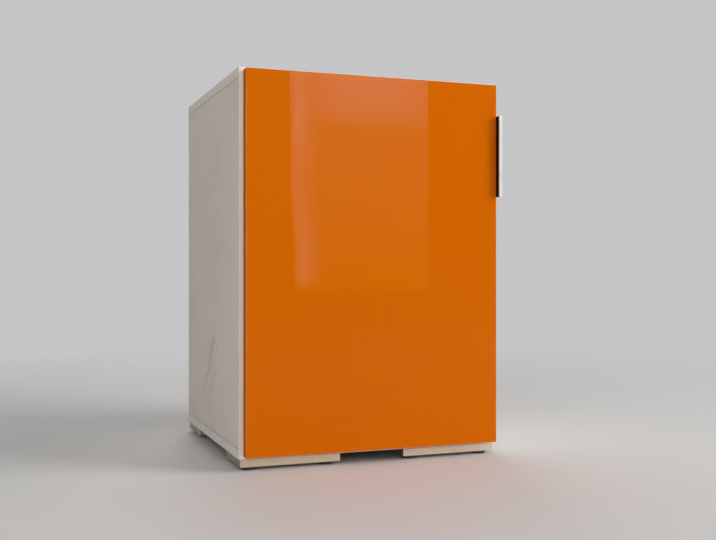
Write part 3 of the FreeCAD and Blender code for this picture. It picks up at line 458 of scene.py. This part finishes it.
def model_screw(head_radius, head_height, shank_radius, length, sunk):
    """One cross-recess screw: the top of its head is at the origin and its point is at +Z."""
    core_radius = 0.72 * shank_radius
    point_length, pitch = 1.5 * shank_radius, 0.9 * shank_radius
    shank_length = length - head_height - point_length
    head_rounding, blunt_tip = 0.6 * head_height, 0.15
    recess_reach, recess_width = 0.62 * head_radius, 0.24 * head_radius
    recess_depth = 0.75 * head_height
    head_sides, turn_steps, smooth_angle = 32, 14, math.radians(35)
    bpy.ops.object.select_all(action="DESELECT")
    bpy.ops.mesh.primitive_cylinder_add(vertices=head_sides, radius=head_radius,
                                        depth=head_height, location=(0, 0, head_height / 2))
    bpy.ops.object.transform_apply(location=True, rotation=True, scale=True)
    screw = bpy.context.object
    bpy.ops.object.mode_set(mode="EDIT")
    if sunk:
        taper = shank_radius / head_radius
        select_faces(screw, to_the_point)
        bpy.ops.transform.resize(value=(taper, taper, 1))
        neck = shank_radius
    else:
        select_faces(screw, -to_the_point)
        bpy.ops.mesh.bevel(offset=head_rounding, segments=5, profile=0.5)
        neck = head_radius
    select_faces(screw, to_the_point)
    bpy.ops.mesh.inset(thickness=neck - core_radius)
    for run in (shank_length, point_length):
        bpy.ops.mesh.extrude_region_move(TRANSFORM_OT_translate={"value": to_the_point * run})
    bpy.ops.transform.resize(value=(blunt_tip, blunt_tip, 1))
    bpy.ops.object.mode_set(mode="OBJECT")
    for blade in cross_cutter(recess_reach, recess_width, recess_depth):
        bpy.ops.object.select_all(action="DESELECT")
        apply_modifier(screw, "BOOLEAN", operation="DIFFERENCE", solver="EXACT", object=blade)
        bpy.data.objects.remove(blade)
    # the thread: a three-sided ridge wound up the core
    bpy.ops.mesh.primitive_circle_add(vertices=3, radius=shank_radius - core_radius,
                                      location=(core_radius, 0, head_height + pitch),
                                      rotation=(math.pi / 2, math.pi / 2, 0))
    bpy.ops.object.transform_apply(location=True, rotation=True, scale=True)
    thread = bpy.context.object
    apply_modifier(thread, "SCREW", axis="Z", screw_offset=pitch,
                   iterations=int(shank_length / pitch) - 1,
                   steps=turn_steps, render_steps=turn_steps)
    bpy.ops.object.mode_set(mode="EDIT")
    bpy.ops.mesh.select_all(action="SELECT")
    bpy.ops.mesh.fill_holes(sides=3)
    bpy.ops.mesh.select_all(action="SELECT")
    bpy.ops.mesh.normals_make_consistent(inside=False)
    bpy.ops.object.mode_set(mode="OBJECT")
    screw.select_set(True)
    bpy.context.view_layer.objects.active = screw
    bpy.ops.object.join()
    bpy.ops.object.shade_smooth_by_angle(angle=smooth_angle)
    return screw


def put_in_screws(node, body, way, head_height, shank_radius, sunk=False):
    """Detailed screws in place of a node's plain ones, each turned as it happened to stop."""
    next_turn = 0.7
    way = Vector(way)
    line = Vector([abs(part) for part in way])
    boxes = solids_of(node)
    size = boxes[0][1] - boxes[0][0]
    length = size.dot(line)
    head_radius = max(size - line * length) / 2
    master = model_screw(head_radius, head_height, shank_radius, length, sunk)
    aimed = to_the_point.rotation_difference(way).to_matrix().to_4x4()
    copies = []
    for index, (low, high) in enumerate(boxes):
        copy = master.copy()
        copy.data = master.data.copy()
        bpy.context.collection.objects.link(copy)
        head_top = Matrix.Translation((low + high) / 2 - way * length / 2)
        copy.data.transform(head_top @ aimed @ Matrix.Rotation(index * next_turn, 4, "Z"))
        copies.append(copy)
    bpy.data.objects.remove(master)
    bpy.ops.object.select_all(action="DESELECT")
    for copy in copies:
        copy.select_set(True)
    bpy.context.view_layer.objects.active = copies[0]
    if len(copies) > 1:
        bpy.ops.object.join()
    piece = bpy.context.object
    piece.name = f"cross_recess_{node}"
    piece.data.materials.append(zinc_plate)
    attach(piece, body)
    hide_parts(node)


put_in_screws("foot_screws", "carcass", way=(0, 0, 1), head_height=0.002, shank_radius=0.00175)


# Door
# An 18 mm fibreboard front with rounded edges, sprayed all over with orange lacquer and
# polished to a mirror on the outside. The inside keeps the sprayed satin.
lacquer_deep, lacquer_bright = (0.55, 0.112, 0.0, 1), (0.58, 0.118, 0.0, 1)
# a painted highlight colour for the rounded hinge edge
painted_arris_highlight = (0.71, 0.245, 0.075, 1)
rounding = 0.0012
satin_start, satin_full = 0.001, 0.0005
polished_coat, satin_coat = 0.12, 0.05
low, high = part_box("door_panel")
lacquer, tree, shader = start_material(
    "orange_lacquer", {"Specular IOR Level": 0.0, "Coat Roughness": 0.015, "Coat IOR": 1.5})
spot = object_coordinates(tree)
sideways, backward, _ = axes_of(tree, spot)
drift = noise(tree, spot, scale=4, detail=3)
colour = mix_colours(tree, drift, lacquer_deep, lacquer_bright)
# a painted highlight: lighter orange along the rounded hinge edge, broken up by noise
in_rounding = calculate(tree, "MULTIPLY",
                        calculate(tree, "LESS_THAN", sideways, low.x + rounding),
                        calculate(tree, "LESS_THAN", backward, low.y + rounding))
highlight_breakup = ramp(tree, noise(tree, spot, scale=14, detail=3), low=0.35, high=0.6, start=0.35)
colour = mix_colours(tree, calculate(tree, "MULTIPLY", in_rounding, highlight_breakup), colour, painted_arris_highlight)
core = place_group(tree, raw_core, {"Vector": spot, "Low": low, "High": high, "Chip Scale": 3000})
colour = mix_colours(tree, core["Mask"], colour, core["Color"])
tree.links.new(colour, shader.inputs["Base Color"])
coat = ramp(tree, backward, high.y - satin_start, high.y - satin_full, polished_coat, satin_coat)
tree.links.new(coat, shader.inputs["Coat Weight"])
under_coat = ramp(tree, drift, low=0.3, high=0.7, start=0.45, end=0.55)
tree.links.new(under_coat, shader.inputs["Roughness"])
bump(tree, shader, noise(tree, spot, scale=260, detail=1), strength=0.008, depth=0.0003)
dress(lacquer, "door_panel")


# Hinges
# Two concealed hinges: a nickel-plated arm over a plate on the side board, and a cup let
# into the door. Each part is pressed or cast, then barrel plated.
nickel_plate = plated_metal("nickel_plate", dark=(0.58, 0.56, 0.52, 1),
                            light=(0.76, 0.74, 0.70, 1), grain=90, grit=0.05)
for hinge in ("upper_hinge", "lower_hinge"):
    dress(nickel_plate, f"{hinge}_plate", f"{hinge}_arm", f"{hinge}_cup")
dress(zinc_plate, "hinge_pins")
into_the_side, into_the_door = (-1, 0, 0), (0, -1, 0)
put_in_screws("hinge_plate_screws", "carcass", into_the_side, head_height=0.002,
              shank_radius=0.0025)
for node in ("hinge_arm_screws", "hinge_adjusting_screws"):
    put_in_screws(node, "carcass", into_the_side, head_height=0.002, shank_radius=0.002)
put_in_screws("cup_screws", "door", into_the_door, head_height=0.002, shank_radius=0.00175)


# Handle
# An aluminium edge pull, extruded as an L and cut to length. It is anodised black, with the
# lip's front ground bright, and two countersunk screws hold it on the door's edge.
along_the_pull = (700, 700, 14)
lip_dark, lip_pale = (0.46, 0.45, 0.435, 1), (0.56, 0.55, 0.535, 1)
anodised_black = (0.012, 0.011, 0.011, 1)
lip_depth, ground_edge = 0.0026, 0.0003
lip_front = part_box("handle")[0].y
pull, tree, shader, tone = brushed_aluminium(
    "bright_lipped_pull", along_the_pull, lip_dark, lip_pale, smooth=0.6, rough=0.68)
backward = axes_of(tree, object_coordinates(tree))["Y"]
lip_end = lip_front + lip_depth
behind_lip = ramp(tree, backward, lip_end, lip_end + ground_edge)
tree.links.new(mix_colours(tree, behind_lip, tone, anodised_black), shader.inputs["Base Color"])
dress(pull, "handle")
put_in_screws("handle_screws", "door", way=(-1, 0, 0), head_height=0.0015, shank_radius=0.00175,
              sunk=True)


# Magnet catch
# A white moulded housing under the top board holds a block of ferrite; a plated steel disc
# on the door meets it. Two clear rubber pads behind the door's edge soften the closing.
white_catch = moulded_plastic("white_catch", colour=(0.78, 0.77, 0.74, 1),
                              worn=(0.66, 0.64, 0.60, 1), grain=1800)
dress(white_catch, "catch_housing")
ferrite_dark, ferrite_grey = (0.03, 0.03, 0.032, 1), (0.085, 0.085, 0.09, 1)
ferrite, tree, shader = start_material("pressed_ferrite", {"Specular IOR Level": 0.4})
grains = noise(tree, object_coordinates(tree), scale=900, detail=4)
tree.links.new(mix_colours(tree, grains, ferrite_dark, ferrite_grey), shader.inputs["Base Color"])
tree.links.new(ramp(tree, grains, low=0.3, high=0.7, start=0.5, end=0.7),
               shader.inputs["Roughness"])
bump(tree, shader, grains, strength=0.3, depth=0.0001)
dress(ferrite, "catch_magnet")
dress(zinc_plate, "strike_plate")
put_in_screws("catch_screws", "carcass", way=(0, 0, 1), head_height=0.002, shank_radius=0.00175)
put_in_screws("strike_screw", "door", into_the_door, head_height=0.0008, shank_radius=0.00175)
rubber_dull, rubber_clear = (0.70, 0.70, 0.67, 1), (0.86, 0.86, 0.84, 1)
rubber, tree, shader = start_material(
    "clear_rubber",
    {"Roughness": 0.35, "Transmission Weight": 0.6, "IOR": 1.45, "Specular IOR Level": 0.4})
haze = noise(tree, object_coordinates(tree), scale=300, detail=2)
tree.links.new(mix_colours(tree, haze, rubber_dull, rubber_clear), shader.inputs["Base Color"])
dress(rubber, "door_bumpers")


# Studio floor
# A wide pale floor that curves up into a wall all round. Away from the cabinet it glows for
# the camera, and in reflections of what lies behind the cabinet, but not of what lies in front.
floor_radius, curve_radius, wall_height = 4.0, 1.6, 1.2
rim_points, curve_steps = 128, 12
floor_shade, floor_pale = (0.80, 0.785, 0.765, 1), (0.83, 0.815, 0.795, 1)
backdrop_grey = (0.56, 0.56, 0.57, 1)
backdrop_start, backdrop_full = 0.5, 2.2
mirrored_from, mirrored_full = -1.0, 0.5
bpy.ops.object.select_all(action="DESELECT")
bpy.ops.mesh.primitive_circle_add(vertices=rim_points, radius=floor_radius, fill_type="NGON",
                                  location=(0, 0, 0))
studio = bpy.context.object
studio.name = "studio_floor"
bpy.ops.object.mode_set(mode="EDIT")
bpy.ops.mesh.select_all(action="SELECT")
bpy.ops.mesh.select_mode(type="EDGE")
rims = []
for step in range(1, curve_steps + 1):
    angle = math.pi / 2 * step / curve_steps
    rims.append((floor_radius + curve_radius * math.sin(angle),
                 curve_radius * (1 - math.cos(angle))))
rims.append((floor_radius + curve_radius, curve_radius + wall_height))
reach, height = floor_radius, 0.0
for next_reach, next_height in rims:
    bpy.ops.mesh.extrude_edges_move(
        TRANSFORM_OT_translate={"value": (0, 0, next_height - height)})
    bpy.ops.transform.resize(value=(next_reach / reach, next_reach / reach, 1))
    reach, height = next_reach, next_height
bpy.ops.object.mode_set(mode="OBJECT")
bpy.ops.object.shade_smooth_by_angle()
pale, tree, shader = start_material("pale_floor", {"Roughness": 0.6, "Specular IOR Level": 0.2})
spot = object_coordinates(tree)
floor_colour = mix_colours(tree, noise(tree, spot, scale=1.5, detail=2), floor_shade, floor_pale)
tree.links.new(floor_colour, shader.inputs["Base Color"])
rays = tree.nodes.new("ShaderNodeLightPath").outputs
past_the_cabinet = ramp(tree, axes_of(tree, spot)["Y"], mirrored_from, mirrored_full)
mirrored = calculate(tree, "MAXIMUM", rays["Is Glossy Ray"], rays["Is Transmission Ray"])
mirrored = calculate(tree, "MULTIPLY", mirrored, past_the_cabinet)
shown = calculate(tree, "MAXIMUM", rays["Is Camera Ray"], mirrored)
far_off = ramp(tree, length_of(tree, spot), backdrop_start, backdrop_full)
backdrop = calculate(tree, "MULTIPLY", shown, far_off)
glow = add_node(tree, "ShaderNodeEmission", {"Color": backdrop_grey, "Strength": 1.0})
blend = add_node(tree, "ShaderNodeMixShader",
                 {0: backdrop, 1: shader.outputs[0], 2: glow.outputs[0]})
tree.links.new(blend.outputs[0], tree.nodes["Material Output"].inputs["Surface"])
studio.data.materials.append(pale)


# Camera
# It stands low, left of the door, and looks level, as fitted to the photograph's edges.
image_width, image_height = 716, 540
focal_pixels, sensor_width = 990.1, 36
camera_place = (-0.5722, -1.66525, 0.3103)
turn_to_the_right, tilt_down = 20.35, 0.097
bpy.ops.object.camera_add(
    location=camera_place,
    rotation=(math.radians(90 - tilt_down), 0, math.radians(-turn_to_the_right)))
camera = bpy.context.object
camera.data.sensor_width = sensor_width
camera.data.lens = focal_pixels * sensor_width / image_width
bpy.context.scene.camera = camera
bpy.context.view_layer.update()


# Room and lamps
# A grey room with three soft square lamps: the key at the front right, a weaker fill at the
# front left and a faint one behind. None of them shows to the camera.
room_grey = (0.20, 0.20, 0.204, 1)
world = bpy.data.worlds.new("soft_room")
bpy.context.scene.world = world
world.use_nodes = True
tree = world.node_tree
rays = tree.nodes.new("ShaderNodeLightPath").outputs
room = mix_colours(tree, rays["Is Camera Ray"], room_grey, backdrop_grey)
tree.links.new(room, tree.nodes["Background"].inputs["Color"])


def area_lamp(name, place, toward, size, power):
    bpy.ops.object.light_add(type="AREA", location=place)
    lamp = bpy.context.object
    lamp.name = name
    lamp.data.shape = "SQUARE"
    lamp.data.size = size
    lamp.data.energy = power
    lamp.visible_camera = False
    lamp.rotation_euler = (Vector(toward) - Vector(place)).to_track_quat("-Z", "Y").to_euler()


area_lamp("key", place=(3.4, -2.25, 1.45), toward=(0, 0, 0.3), size=2.3, power=143)
area_lamp("fill", place=(-1.4, -2.7, 1.0), toward=(0, 0, 0.3), size=2.0, power=30)
area_lamp("back", place=(0.6, 3.2, 1.9), toward=(0.1, 0, 0.3), size=1.6, power=20)


# Window
# A bright upper pane over a dim, warm lower one, with a lit frame down its left. It stands
# behind the camera, where the door's polish mirrors it to these rows and columns of the image.
window_distance = -2.6
left_column, right_column, top_row, foot_row = 290, 428, 40, 289
middle_column, middle_row = 360, 200
upper_end_row, lower_start_row = 108, 132
left_shade_column, clear_column, right_shade_column = 312, 345, 395
step_column, step_start_row, step_end_row = 294, 195, 245
frame_bright_row, frame_dim_row = 115, 150
foot_glow_row, foot_bright_row, foot_fade_row = 200, 270, 276
frame_rise_pixels, frame_flat_pixels, frame_width_pixels = 6, 9, 30
upper_light, upper_dim, upper_bright, upper_sides = 9.9, 0.85, 1.2, 0.62
lower_top, lower_foot, lower_behind = 4.4, 5.2, 0.3
frame_top, frame_middle, frame_foot = 9.3, 4.0, 1.5
warm_top, warm_foot = (1, 0.95, 0.5, 1), (1, 0.7, 0.06, 1)
door_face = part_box("door_panel")[0].y


def seen_in_the_door(column, row):
    """The point of the window's plane that the door mirrors to this pixel."""
    ray = camera.matrix_world.to_3x3() @ Vector(
        ((column - image_width / 2) / focal_pixels, (image_height / 2 - row) / focal_pixels, -1))
    start = camera.matrix_world.translation
    meet = start + ray * ((door_face - start.y) / ray.y)
    ray.y = -ray.y
    return meet + ray * ((window_distance - door_face) / ray.y)


def level_of(row):
    return seen_in_the_door(middle_column, row).z


def place_of(column):
    return seen_in_the_door(column, middle_row).x


upper_left = seen_in_the_door(left_column, top_row)
lower_right = seen_in_the_door(right_column, foot_row)
bpy.ops.object.select_all(action="DESELECT")
bpy.ops.mesh.primitive_plane_add(size=1, location=(upper_left + lower_right) / 2,
                                 rotation=(math.pi / 2, 0, math.pi))
window = bpy.context.object
window.name = "studio_window"
window.scale = (abs(lower_right.x - upper_left.x), abs(upper_left.z - lower_right.z), 1)
bpy.ops.object.transform_apply(location=True, rotation=True, scale=True)
window.visible_camera = False
window.visible_diffuse = False
panes, tree, shader = start_material("window_light", {})
tree.nodes.remove(shader)
across, _, level = axes_of(tree, object_coordinates(tree))
upper_end, lower_start = level_of(upper_end_row), level_of(lower_start_row)
upper = ramp(tree, level, lower_start, upper_end, end=upper_light)
shades = (ramp(tree, level, upper_end, upper_left.z, upper_dim, upper_bright),
          calculate(tree, "MINIMUM",
                    ramp(tree, across, place_of(left_shade_column), place_of(clear_column),
                         upper_sides, 1),
                    ramp(tree, across, place_of(right_shade_column), place_of(right_column),
                         1, upper_sides)))
for shade in shades:
    upper = calculate(tree, "MULTIPLY", upper, shade)
# the left edge of the window steps to the right, low down
left_edge = ramp(tree, level, level_of(step_end_row), level_of(step_start_row),
                 place_of(step_column), upper_left.x)
inset = calculate(tree, "SUBTRACT", across, left_edge)
lower = ramp(tree, level, lower_right.z, lower_start, lower_foot, lower_top)
shades = (ramp(tree, level, lower_start, upper_end, 1, lower_behind),
          calculate(tree, "GREATER_THAN", inset, 0.0))
for shade in shades:
    lower = calculate(tree, "MULTIPLY", lower, shade)
warmth = mix_colours(tree, ramp(tree, level, lower_right.z, lower_start), warm_foot, warm_top)
frame_rise, frame_flat, frame_width = [
    place_of(left_column + pixels) - place_of(left_column)
    for pixels in (frame_rise_pixels, frame_flat_pixels, frame_width_pixels)]
frame_light = calculate(tree, "ADD",
                        ramp(tree, level, level_of(frame_dim_row), level_of(frame_bright_row),
                             frame_middle, frame_top),
                        ramp(tree, level, level_of(foot_bright_row), level_of(foot_glow_row),
                             frame_foot, 0))
shades = (ramp(tree, inset, 0, frame_rise),
          ramp(tree, inset, frame_flat, frame_width, 1, 0),
          ramp(tree, level, lower_right.z, level_of(foot_fade_row)))
for shade in shades:
    frame_light = calculate(tree, "MULTIPLY", frame_light, shade)
daylight = add_node(tree, "ShaderNodeEmission",
                    {"Color": (1, 1, 1, 1),
                     "Strength": calculate(tree, "MAXIMUM", upper, frame_light)})
dim_light = add_node(tree, "ShaderNodeEmission", {"Color": warmth, "Strength": lower})
light = add_node(tree, "ShaderNodeAddShader", {0: daylight.outputs[0], 1: dim_light.outputs[0]})
tree.links.new(light.outputs[0], tree.nodes["Material Output"].inputs["Surface"])
window.data.materials.append(panes)
